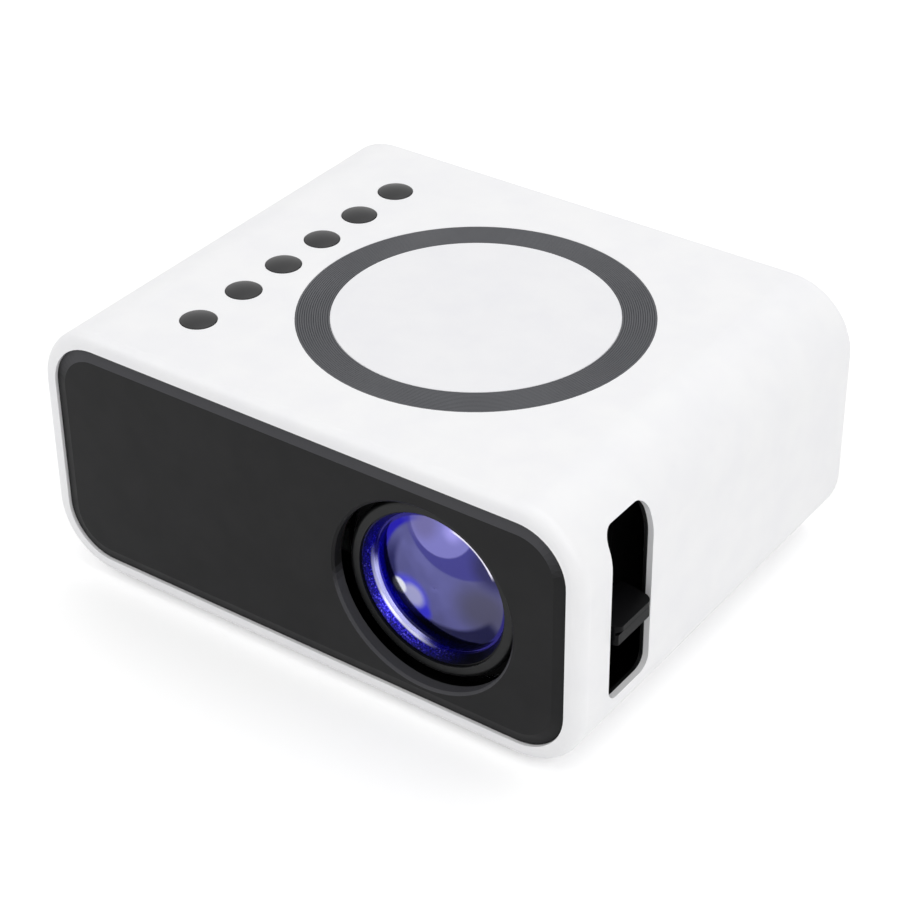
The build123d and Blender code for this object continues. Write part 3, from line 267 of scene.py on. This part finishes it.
def clearMaterial(name, colour, ior, roughness=0.0):
    # clear moulded acrylic or ground glass, with faint clouds in its gloss
    glass, tree, shader = newMaterial(name)
    place = addNode(tree, "ShaderNodeTexCoord")
    noise = noiseOver(tree, place, clearLook["flow"], {"Detail": clearLook["detail"]})
    gloss = addNode(tree, "ShaderNodeMapRange",
                    {"To Min": roughness, "To Max": roughness + clearLook["uneven"]}, {"Value": (noise, "Fac")})
    tree.links.new(gloss.outputs["Result"], shader.inputs["Roughness"])
    shader.inputs["Base Color"].default_value = linear(colour)
    shader.inputs["Transmission Weight"].default_value = 1.0
    shader.inputs["IOR"].default_value = ior
    return glass


material["crownGlass"] = clearMaterial("crownGlass", "#C9CEFF", 1.52)
material["acrylic"] = clearMaterial("acrylic", "#F2F5F7", 1.49, 0.02)
material["panelGlass"] = plain("panelGlass", "#17191E", "#1D2026", 0.12, ior=1.52, coat=0.4)
material["silvering"] = plain("silvering", "#E4E6E8", "#ECEEF0", 0.08, metallic=1.0, grain=2.0, height=0.001)


# the white casing

casingLook = {
    # near-black painted shade for the inner faces
    "innerShade": "#060607",
    "side": 64.0, "height": 57.0, "middle": 29.9, "corner": 14.2,   # mm: half width, height, mid z, corner
    "skin": 1.2, "depth": 46.2,   # mm of wall left white, and half the depth that gets the painted shade
}


def casingMaterial():
    # white ABS; the inner faces get a near-black painted shade, which keeps the openings dark
    casing = plain("whiteAbsCasing", **finishes["whiteAbs"])
    tree = casing.node_tree
    shader = tree.nodes["Principled BSDF"]
    place = addNode(tree, "ShaderNodeTexCoord")
    spot = addNode(tree, "ShaderNodeSeparateXYZ", links={"Vector": (place, "Object")})
    # how far a point lies outside the rounded outline's straight core decides skin or inside
    raised = addNode(tree, "ShaderNodeMath", {"operation": "SUBTRACT", 1: casingLook["middle"] * mm},
                     {0: (spot, "Z")})
    flat = addNode(tree, "ShaderNodeCombineXYZ", links={"X": (spot, "X"), "Y": (raised, 0)})
    size = addNode(tree, "ShaderNodeVectorMath", {"operation": "ABSOLUTE"}, {0: (flat, 0)})
    core = ((casingLook["side"] - casingLook["corner"]) * mm,
            (casingLook["height"] / 2 - casingLook["corner"]) * mm, 0)
    past = addNode(tree, "ShaderNodeVectorMath", {"operation": "SUBTRACT", 1: core}, {0: (size, 0)})
    outward = addNode(tree, "ShaderNodeVectorMath", {"operation": "MAXIMUM", 1: (0, 0, 0)}, {0: (past, 0)})
    reach = addNode(tree, "ShaderNodeVectorMath", {"operation": "LENGTH"}, {0: (outward, 0)})
    within = addNode(tree, "ShaderNodeMath",
                     {"operation": "LESS_THAN", 1: (casingLook["corner"] - casingLook["skin"]) * mm},
                     {0: (reach, "Value")})
    depth = addNode(tree, "ShaderNodeMath", {"operation": "ABSOLUTE"}, {0: (spot, "Y")})
    behind = addNode(tree, "ShaderNodeMath", {"operation": "LESS_THAN", 1: casingLook["depth"] * mm},
                     {0: (depth, 0)})
    paintedShadeMask = addNode(tree, "ShaderNodeMath", {"operation": "MULTIPLY"}, {0: (within, 0), 1: (behind, 0)})
    face = shader.inputs["Base Color"].links[0].from_node
    # painted shade: near-black on the inner faces, the white finish on the outer skin
    mixed = addNode(tree, "ShaderNodeMixRGB", {"Color2": linear(casingLook["innerShade"])},
                    {"Fac": (paintedShadeMask, 0), "Color1": (face, "Color")})
    tree.links.new(mixed.outputs["Color"], shader.inputs["Base Color"])
    return casing


# the front panel

panelLook = {"paintedBevelSheen": "#454548", "from": 0.05, "to": 0.22}   # upward tilt over which the painted sheen sets in


def panelMaterial():
    # black ABS face from a spark-eroded tool; the bevel that looks up gets a painted pale sheen, a paler base
    # colour the more it tilts up
    panel = plain("blackAbsPanel", **finishes["blackAbs"])
    tree = panel.node_tree
    shader = tree.nodes["Principled BSDF"]
    face = shader.inputs["Base Color"].links[0].from_node
    geometry = addNode(tree, "ShaderNodeNewGeometry")
    normal = addNode(tree, "ShaderNodeSeparateXYZ", links={"Vector": (geometry, "True Normal")})
    paintedSheenShare = addNode(tree, "ShaderNodeMapRange", {"From Min": panelLook["from"], "From Max": panelLook["to"]},
                     {"Value": (normal, "Z")})
    # painted sheen: faces that tilt up get a paler base colour
    mixed = addNode(tree, "ShaderNodeMixRGB", {"Color2": linear(panelLook["paintedBevelSheen"])},
                    {"Fac": (paintedSheenShare, 0), "Color1": (face, "Color")})
    tree.links.new(mixed.outputs["Color"], shader.inputs["Base Color"])
    return panel


# the coated lens

lensLook = {
    "axis": (28.7, 28.9),                     # x and z of the lens axis, mm
    "glass": "#C9CEFF", "ior": 1.52, "polish": 0.01,
    "reflects": 0.86, "coatGloss": 0.08,      # share and roughness of the coating's reflection
    "cloud": 6.25, "cloudDetail": 2.0, "cloudFrom": 0.3, "cloudTo": 0.7, "low": "#55558A", "high": "#64649F",
}
# painted reflections and painted shade laid on the coating, drawn where the coating and the faces behind it
# would show them, in order from the bottom up: name, the round that it lies in, the round that it lies beyond,
# colour; each round is x and z from the axis, radius and soft edge, in mm
paintedLensArcs = (
    ("painted shade at the right side", (10.5, -1.5, 5.5, 7.0), None, "#52516B"),
    ("painted reflection of a second lens", (4.7, 17.5, 13.5, 0.7), None, "#43418A"),
    ("its dark side", (13.0, 8.5, 5.0, 4.0), None, "#33325F"),
    ("painted pale reflection at the top", (0.5, 14.5, 7.3, 0.5), None, "#7B79BE"),
    ("glare in it", (3.2, 13.0, 1.6, 3.0), None, "#A09AE8"),
    ("its grey side", (-3.4, 12.6, 3.0, 3.4), None, "#6E6AA0"),
    ("painted shade rim", (-5.0, -6.0, 13.0, 7.0), (2.0, 2.0, 11.4, 1.6), "#23235C"),
    ("its lower part", (4.0, -12.0, 11.0, 3.0), (1.4, 4.2, 13.0, 1.4), "#1A1A45"),
    ("painted ultramarine reflection at the left", (-12.0, 2.0, 12.0, 6.0), (1.4, 0.6, 13.6, 1.0), "#1D12A8"),
    ("blue fringe of the softbox", (-6.0, -4.6, 4.4, 2.4), None, "#4A47D8"),
    ("its lower fringe", (-2.9, -7.0, 1.8, 1.6), None, "#3330D0"),
    ("painted softbox reflection low at the left", (-5.2, -4.2, 2.5, 2.0), None, "#A9A9D6"),
    ("its bright end", (-8.6, -3.4, 1.7, 0.9), None, "#F2F4FF"),
    ("ground edge", None, (0, 0, 14.35, 0.3), "#2B2679"),
    ("lit part of the ground edge", (-11.0, -9.0, 9.0, 4.0), (0, 0, 14.35, 0.3), "#DCDDFF"),
    ("painted hairline highlight at the right", (9.0, 11.5, 6.0, 2.0), (0, 0, 13.3, 0.2), "#F0EDFF"),
)


def inside(tree, place, x, z, radius, edge):
    # 1 inside that round, in the plane of the glass, and 0 outside it, over an edge of that many mm
    spot = addNode(tree, "ShaderNodeSeparateXYZ", links={"Vector": (place, "Object")})
    flat = addNode(tree, "ShaderNodeCombineXYZ", links={"X": (spot, "X"), "Y": (spot, "Z")})
    centre = ((lensLook["axis"][0] + x) * mm, (lensLook["axis"][1] + z) * mm, 0)
    far = addNode(tree, "ShaderNodeVectorMath", {"operation": "DISTANCE", 1: centre}, {0: (flat, 0)})
    return addNode(tree, "ShaderNodeMapRange",
                   {"interpolation_type": "SMOOTHSTEP", "From Min": (radius + edge / 2) * mm,
                    "From Max": (radius - edge / 2) * mm}, {"Value": (far, "Value")})


def beyond(tree, place, x, z, radius, edge):
    area = inside(tree, place, x, z, radius, edge)
    return addNode(tree, "ShaderNodeMath", {"operation": "SUBTRACT", 0: 1.0}, {1: (area, 0)})


def times(tree, a, b):
    return addNode(tree, "ShaderNodeMath", {"operation": "MULTIPLY"}, {0: (a, 0), 1: (b, 0)})


def over(tree, below, mask, colour):
    return addNode(tree, "ShaderNodeMixRGB", {"Color2": linear(colour)},
                   {"Fac": (mask, 0), "Color1": (below, 0)})


def lensMaterial():
    # crown glass under a violet anti-reflection coating: slate violet, with darker and paler arcs of painted
    # reflection and painted shade laid into the coating's colour
    glass, tree, shader = newMaterial("coatedCrownGlass")
    place = addNode(tree, "ShaderNodeTexCoord")
    cloud = noiseOver(tree, place, lensLook["cloud"], {"Detail": lensLook["cloudDetail"]})
    colour = twoTone(tree, cloud, lensLook["low"], lensLook["high"], lensLook["cloudFrom"], lensLook["cloudTo"])
    # each arc is painted reflection or painted shade laid over the coating's colour
    for name, within, past, tone in paintedLensArcs:
        masks = []
        if past:
            masks.append(beyond(tree, place, *past))
        if within:
            masks.append(inside(tree, place, *within))
        mask = times(tree, *masks) if len(masks) == 2 else masks[0]
        colour = over(tree, colour, mask, tone)
        colour.label = name
    shader.inputs["Transmission Weight"].default_value = 1.0
    shader.inputs["Base Color"].default_value = linear(lensLook["glass"])
    shader.inputs["IOR"].default_value = lensLook["ior"]
    shader.inputs["Roughness"].default_value = lensLook["polish"]
    coat = addNode(tree, "ShaderNodeBsdfGlossy", {"Roughness": lensLook["coatGloss"]}, {"Color": (colour, 0)})
    blend = addNode(tree, "ShaderNodeMixShader", {0: lensLook["reflects"]}, {1: (shader, 0), 2: (coat, 0)})
    tree.links.new(blend.outputs[0], tree.nodes["Material Output"].inputs["Surface"])
    return glass


bezelLook = {
    "outer": "#0A0B0C", "dark": "#0B0A48", "bright": "#2A20D8", "glint": "#8D86FF", "lip": "#E4E4FF",
    "fleck": 0.35, "fleckDetail": 3.0, "darkTo": 0.38, "brightFrom": 0.6, "glintFrom": 0.72,
    "metallic": 0.8, "roughness": 0.3, "bump": 0.3, "bumpHeight": 0.01,
    "paintedGlow": ((0, 0, 16.1, 1.2), (-8.0, -4.0, 14.0, 10.0)),       # the two rounds that the painted blue glow lies in
    "lipIn": ((0, 0, 15.42, 0.16), (-11.0, -8.5, 10.5, 5.0)),    # and those of the painted highlight on the inner lip
}


def bezelMaterial():
    # metallic seat ring of the glass, black, with a painted blue glow: deep ultramarine, with bright painted
    # flecks and glints where the glass lights it
    ring, tree, shader = newMaterial("blackRingPaintedBlueGlow")
    place = addNode(tree, "ShaderNodeTexCoord")
    flecks = noiseOver(tree, place, bezelLook["fleck"], {"Detail": bezelLook["fleckDetail"]})
    ramp = twoTone(tree, flecks, bezelLook["dark"], bezelLook["bright"],
                   bezelLook["darkTo"], bezelLook["brightFrom"])
    ramp.color_ramp.elements.new(bezelLook["glintFrom"]).color = linear(bezelLook["glint"])
    # the painted blue glow shows near the glass, at the left and below; the ring's outer part stays black
    paintedGlow = times(tree, *(inside(tree, place, *area) for area in bezelLook["paintedGlow"]))
    colour = addNode(tree, "ShaderNodeMixRGB", {"Color1": linear(bezelLook["outer"])},
                     {"Fac": (paintedGlow, 0), "Color2": (ramp, 0)})
    # painted highlight, pale, on the inner lip at the lower left
    lip = times(tree, *(inside(tree, place, *area) for area in bezelLook["lipIn"]))
    colour = over(tree, colour, lip, bezelLook["lip"])
    tree.links.new(colour.outputs[0], shader.inputs["Base Color"])
    shader.inputs["Metallic"].default_value = bezelLook["metallic"]
    shader.inputs["Roughness"].default_value = bezelLook["roughness"]
    bump = addNode(tree, "ShaderNodeBump",
                   {"Strength": bezelLook["bump"], "Distance": bezelLook["bumpHeight"] * mm},
                   {"Height": (flecks, "Fac")})
    tree.links.new(bump.outputs["Normal"], shader.inputs["Normal"])
    return ring


material["casing"] = casingMaterial()
material["panel"] = panelMaterial()
material["coatedGlass"] = lensMaterial()
material["bezel"] = bezelMaterial()

nodeFinish = {
    "casing": ["housing"],
    "whiteAbs": ["bottom_cover"],
    "panel": ["front_panel"],
    "bezel": ["lens_bezel"],
    "coatedGlass": ["front_lens"],
    "blackAbs": ["rear_panel", "engine_case", "engine_lid", "condenser_holder", "lens_holder",
                 "front_spacer", "rear_spacer", "fan_frame", "fan_rotor"],
    "blackSmooth": ["lens_barrel"],
    "blackPom": ["focus_ring"],
    "ringGrey": ["top_ring"],
    "discWhite": ["top_disc"],
    "greyButton": ["button_%d" % n for n in range(1, 7)],
    "blackRubber": ["feet"],
    "blackOxide": ["front_screws", "rear_screws", "cover_screws", "engine_screws", "board_screws"],
    "zincSteel": ["fan_screws", "guide_pins", "focus_clip", "fan_shaft", "speaker_frame", "hdmi_socket",
                  "usb_socket", "card_socket", "capacitors"],
    "turnedBrass": ["tripod_insert", "rear_posts"],
    "millAluminium": ["heatsink"],
    "greenBoard": ["key_board", "main_board"],
    "whiteBoard": ["led_board"],
    "chipEpoxy": ["key_switches", "board_chips", "av_socket", "dc_socket"],
    "phosphor": ["led_emitter"],
    "polyimide": ["panel_flex"],
    "paperCone": ["speaker_cone"],
    "crownGlass": ["middle_lens", "rear_lens"],
    "acrylic": ["condenser_lens", "heat_glass", "rear_fresnel", "front_fresnel"],
    "panelGlass": ["lcd_panel"],
    "silvering": ["mirror"],
}


def dress(node, finish):
    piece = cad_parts[node]
    if not piece.material_slots:
        piece.data.materials.append(finish)
    for slot in piece.material_slots:
        slot.material = finish


for finishName, nodes in nodeFinish.items():
    for node in nodes:
        dress(node, material[finishName])
print("stage: finishes on", sum(len(n) for n in nodeFinish.values()), "nodes")


# the end


print("stage: end")
